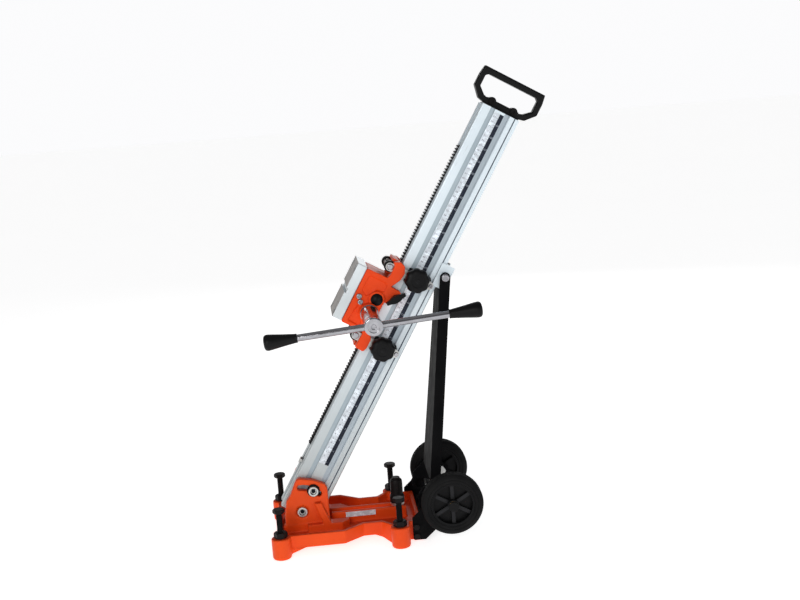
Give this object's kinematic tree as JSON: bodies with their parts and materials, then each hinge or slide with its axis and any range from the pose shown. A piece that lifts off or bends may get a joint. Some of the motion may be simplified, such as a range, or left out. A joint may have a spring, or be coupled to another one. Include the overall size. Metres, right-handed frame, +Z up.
{
  "type": "core drill rig",
  "caption": "Tilting rack-column drill stand on a levelling base with transport wheels, cranked carriage and flat motor plate.",
  "frame": {"origin": "on the floor, midway between the four feet of the base", "axes": "+X towards the wheels and the strut, +Y away from the crank side, +Z up"},
  "size_m": [0.5977, 0.3496, 0.9061],
  "materials": {
    "cast_orange": "orange paint on a sand casting",
    "carriage_orange": "orange paint on an aluminium casting",
    "column_aluminium": "satin anodised extrusion",
    "plain_steel": "machined and zinc plated steel",
    "dark_steel": "black oxide steel",
    "black_paint": "black powder coat on steel sheet",
    "bright_steel": "bright plated steel",
    "plate_aluminium": "milled aluminium plate",
    "black_plastic": "moulded black plastic",
    "tyre_rubber": "solid black rubber",
    "ruler_foil": "printed foil, white and black bands",
    "bronze": "sintered bronze"
  },
  "bodies": {
    "base": {"base_casting": "cast_orange", "hinge_pivot_bolt": "plain_steel", "hinge_pivot_nut": "plain_steel", "levelling_lock_nuts": "dark_steel", "rating_plate": "ruler_foil", "wheel_bracket": "black_paint", "wheel_bracket_bolts": "dark_steel", "wheel_stub_axles": "plain_steel", "axle_end_caps": "black_plastic", "strut_foot_pin": "plain_steel"},
    "anchor_spindle": {"anchor_spindle": "dark_steel", "anchor_washer": "plain_steel"},
    "anchor_nut": {"anchor_nut": "dark_steel"},
    "column": {"column_profile": "column_aluminium", "column_foot_block": "column_aluminium", "tooth_rack": "dark_steel", "rack_stop_screw": "plain_steel", "ruler_strip": "ruler_foil", "column_end_plug": "black_plastic", "top_handle": "black_plastic", "top_handle_bolts": "dark_steel", "tilt_clamp_bolt": "plain_steel", "tilt_clamp_washer": "dark_steel", "tilt_clamp_nut": "plain_steel"},
    "slide_bracket": {"strut_slide_bracket": "column_aluminium", "slide_t_nut": "plain_steel", "slide_bracket_screws": "plain_steel", "strut_top_bolt": "bright_steel"},
    "strut": {"strut_channel": "black_paint"},
    "carriage": {"carriage_casting": "carriage_orange", "side_straps": "plain_steel", "guide_shoes": "black_plastic", "strap_bolts": "bright_steel", "strap_end_buttons": "bright_steel", "motor_plate": "plate_aluminium", "motor_plate_screws": "dark_steel", "crank_shaft_bushes": "bronze", "bore_plug": "black_plastic", "cover_bolts": "bright_steel", "strap_rings": "black_plastic", "strap_nuts": "plain_steel"},
    "guide_knob_upper": {"guide_knob_upper": "black_plastic"},
    "guide_knob_lower": {"guide_knob_lower": "black_plastic"},
    "lock_knob": {"lock_knob": "black_plastic"},
    "crank": {"pinion_shaft": "plain_steel", "crank_hub": "bright_steel", "crank_bar": "bright_steel", "crank_grips": "black_plastic"},
    "levelling_screw_front_near": {"levelling_screw_front_near": "dark_steel"},
    "levelling_screw_front_far": {"levelling_screw_front_far": "dark_steel"},
    "levelling_screw_rear_near": {"levelling_screw_rear_near": "dark_steel"},
    "levelling_screw_rear_far": {"levelling_screw_rear_far": "dark_steel"},
    "wheel_near": {"wheel_tyre_near": "tyre_rubber", "wheel_rim_near": "black_plastic", "wheel_bush_near": "bronze"},
    "wheel_far": {"wheel_tyre_far": "tyre_rubber", "wheel_rim_far": "black_plastic", "wheel_bush_far": "bronze"}
  },
  "joints": [
    {"name": "levelling_screw_front_near_height", "type": "slide", "parent": "base", "child": "levelling_screw_front_near", "axis": [0, 0, 1], "range_m": [-0.03, 0.02]},
    {"name": "levelling_screw_front_far_height", "type": "slide", "parent": "base", "child": "levelling_screw_front_far", "axis": [0, 0, 1], "range_m": [-0.03, 0.02]},
    {"name": "levelling_screw_rear_near_height", "type": "slide", "parent": "base", "child": "levelling_screw_rear_near", "axis": [0, 0, 1], "range_m": [-0.03, 0.02]},
    {"name": "levelling_screw_rear_far_height", "type": "slide", "parent": "base", "child": "levelling_screw_rear_far", "axis": [0, 0, 1], "range_m": [-0.03, 0.02]},
    {"name": "wheel_near_roll", "type": "hinge", "parent": "base", "child": "wheel_near", "pos_m": [0.219, -0.119, 0.08], "axis": [0, 1, 0], "continuous": true},
    {"name": "wheel_far_roll", "type": "hinge", "parent": "base", "child": "wheel_far", "pos_m": [0.219, 0.119, 0.08], "axis": [0, 1, 0], "continuous": true},
    {"name": "anchor_slot_slide", "type": "slide", "parent": "base", "child": "anchor_spindle", "axis": [1, 0, 0], "range_m": [-0.08, 0.006]},
    {"name": "anchor_nut_turn", "type": "hinge", "parent": "anchor_spindle", "child": "anchor_nut", "pos_m": [0.12, 0, 0.08], "axis": [0, 0, 1], "continuous": true},
    {"name": "column_tilt", "type": "hinge", "parent": "base", "child": "column", "pos_m": [-0.0711, 0, 0.0664], "axis": [0, 1, 0], "range_deg": [-30.7, 14.3]},
    {"name": "bracket_slide", "type": "slide", "parent": "column", "child": "slide_bracket", "axis": [0.5105, 0, 0.8599], "range_m": [-0.152, 0.072]},
    {"name": "strut_turn", "type": "hinge", "parent": "slide_bracket", "child": "strut", "pos_m": [0.2426, 0, 0.50815], "axis": [0, 1, 0], "range_deg": [-8, 4]},
    {"name": "carriage_slide", "type": "slide", "parent": "column", "child": "carriage", "axis": [0.5105, 0, 0.8599], "range_m": [-0.262, 0.3]},
    {"name": "crank_turn", "type": "hinge", "parent": "carriage", "child": "crank", "pos_m": [0.09004, 0, 0.45394], "axis": [0, 1, 0], "range_deg": [-960, 1090]},
    {"name": "guide_knob_upper_turn", "type": "hinge", "parent": "carriage", "child": "guide_knob_upper", "pos_m": [0.18686, -0.058, 0.50869], "axis": [0, 1, 0], "range_deg": [-180, 180]},
    {"name": "guide_knob_lower_turn", "type": "hinge", "parent": "carriage", "child": "guide_knob_lower", "pos_m": [0.11079, -0.058, 0.38057], "axis": [0, 1, 0], "range_deg": [-180, 180]},
    {"name": "lock_knob_turn", "type": "hinge", "parent": "carriage", "child": "lock_knob", "pos_m": [0.14336, -0.06, 0.47753], "axis": [0, 1, 0], "range_deg": [-180, 180]}
  ],
  "couplings": [
    {"joint": "crank_turn", "follows": "carriage_slide", "rad_per_m": 62.5},
    {"joint": "bracket_slide", "follows": "column_tilt", "m_per_rad": 0.28},
    {"joint": "strut_turn", "follows": "column_tilt", "ratio": 0.241}
  ]
}
